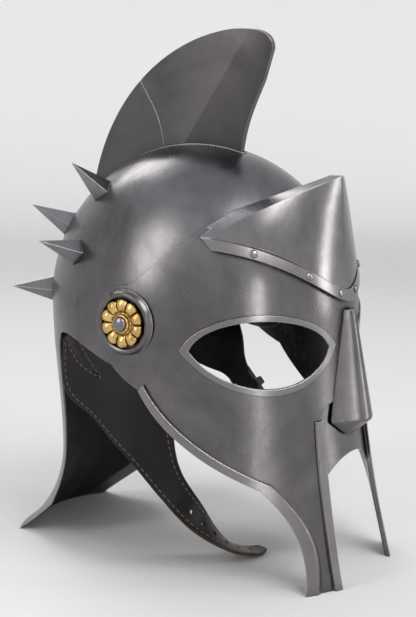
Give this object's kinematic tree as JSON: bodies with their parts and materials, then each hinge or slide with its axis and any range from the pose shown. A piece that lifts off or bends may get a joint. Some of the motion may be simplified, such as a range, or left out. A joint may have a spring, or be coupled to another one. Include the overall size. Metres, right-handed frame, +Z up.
{
  "type": "gladiator helmet",
  "caption": "Wearable steel gladiator helmet with a fin crest, a visor that turns up on two side pivots, a flared neck guard, a leather lining and a buckled chin strap.",
  "frame": {"origin": "on the ground, under the middle of the helmet's bounding box, the helmet standing on its cheek guards and neck guard", "axes": "+Z up, the face looks along -Y, the wearer's right side is at -X"},
  "size_m": [0.2282, 0.31, 0.4094],
  "materials": {
    "polished_steel": "hand-polished sheet with fine scratches",
    "blued_steel": "plain",
    "brass": "satin, a little tarnished",
    "black_leather": "smooth, semi-matt",
    "lining_leather": "suede",
    "buckle_steel": "satin"
  },
  "bodies": {
    "skull": {"skull_bowl": "polished_steel", "crest_right_plate": "polished_steel", "crest_left_plate": "polished_steel", "spike_1": "polished_steel", "spike_2": "polished_steel", "spike_3": "polished_steel", "spike_4": "polished_steel", "spike_5": "polished_steel", "spike_6": "polished_steel", "spike_7": "polished_steel", "spike_8": "polished_steel", "pivot_bolt_right": "polished_steel", "pivot_bolt_left": "polished_steel", "pivot_nut_right": "blued_steel", "pivot_nut_left": "blued_steel", "leather_lining": "black_leather", "headband": "lining_leather", "crown_pad": "lining_leather", "strap_right": "black_leather", "strap_left": "black_leather", "strap_keeper": "black_leather"},
    "visor": {"visor_shell": "polished_steel", "brow_plate": "polished_steel", "brow_band": "polished_steel", "brow_rivets": "polished_steel", "nose_guard": "polished_steel", "mouth_plate": "polished_steel", "mouth_strip_right": "polished_steel", "mouth_strip_left": "polished_steel", "jaw_strip_right": "polished_steel", "jaw_strip_left": "polished_steel", "eye_rim_right": "polished_steel", "eye_rim_left": "polished_steel", "pivot_boss_right": "polished_steel", "pivot_boss_left": "polished_steel", "rosette_right": "brass", "rosette_left": "brass"},
    "buckle": {"buckle_frame": "buckle_steel"},
    "tongue": {"buckle_tongue": "buckle_steel"}
  },
  "joints": [
    {"name": "visor_pivot", "type": "hinge", "parent": "skull", "child": "visor", "pos_m": [0, -0.005, 0.196], "axis": [-1, 0, 0], "range_deg": [0, 25]},
    {"name": "buckle_swing", "type": "hinge", "parent": "skull", "child": "buckle", "pos_m": [0.08418, -0.01302, 0.09296], "axis": [0, 0.766, -0.6428], "range_deg": [-40, 40]},
    {"name": "tongue_swing", "type": "hinge", "parent": "buckle", "child": "tongue", "pos_m": [0.08418, -0.01302, 0.09296], "axis": [0, 0.766, -0.6428], "range_deg": [-90, 0]}
  ]
}
